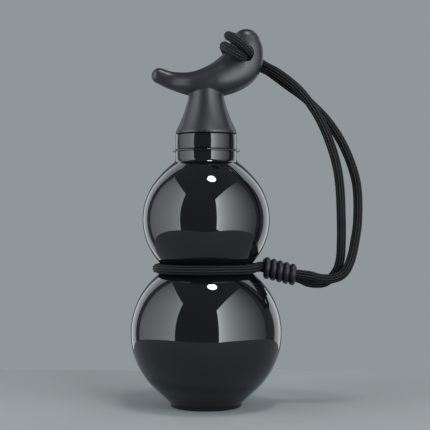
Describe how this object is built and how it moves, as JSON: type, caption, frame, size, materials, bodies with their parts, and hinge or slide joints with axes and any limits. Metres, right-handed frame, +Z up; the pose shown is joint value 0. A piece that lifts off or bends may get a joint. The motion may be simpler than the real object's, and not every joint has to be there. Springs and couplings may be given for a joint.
{
  "type": "water bottle",
  "caption": "Gourd-shaped gloss-black drinking bottle with a matte screw lid that ends in a tilted crescent, and a braided carrying strap held by a wound rubber slider",
  "frame": {"origin": "centre of the foot's underside, on the bottle's axis", "axes": "+Z up along the bottle's axis, front towards -Y, the strap hangs on the +X side"},
  "size_m": [0.1413, 0.0916, 0.229],
  "materials": {
    "body_gloss_black": "polished black plastic with sharp reflections",
    "collar_gloss_black": "polished black plastic",
    "liner_silicone": "soft off-white silicone",
    "lid_matte_black": "fine matte dark grey plastic",
    "strap_braid": "braided black polyester cord",
    "slider_rubber": "smooth soft black rubber"
  },
  "bodies": {
    "bottle": {"bottle_shell": "body_gloss_black"},
    "strap": {"strap_cord": "strap_braid"},
    "lid": {"lid_shell": "lid_matte_black", "inner_cap": "collar_gloss_black", "seal_liner": "liner_silicone", "strap_hitch": "strap_braid"},
    "slider": {"slider_coil": "slider_rubber"}
  },
  "joints": [
    {"name": "lid_turn", "type": "hinge", "parent": "bottle", "child": "strap", "pos_m": [0, 0, 0.16], "axis": [0, 0, 1], "range_deg": [0, 720]},
    {"name": "lid_rise", "type": "slide", "parent": "strap", "child": "lid", "axis": [0, 0, 1], "range_m": [0, 0.008]},
    {"name": "slider_slide", "type": "slide", "parent": "strap", "child": "slider", "axis": [0.969, 0, -0.247], "range_m": [0, 0.003]}
  ],
  "couplings": [
    {"joint": "lid_rise", "follows": "lid_turn", "m_per_rad": 0.00063662}
  ]
}
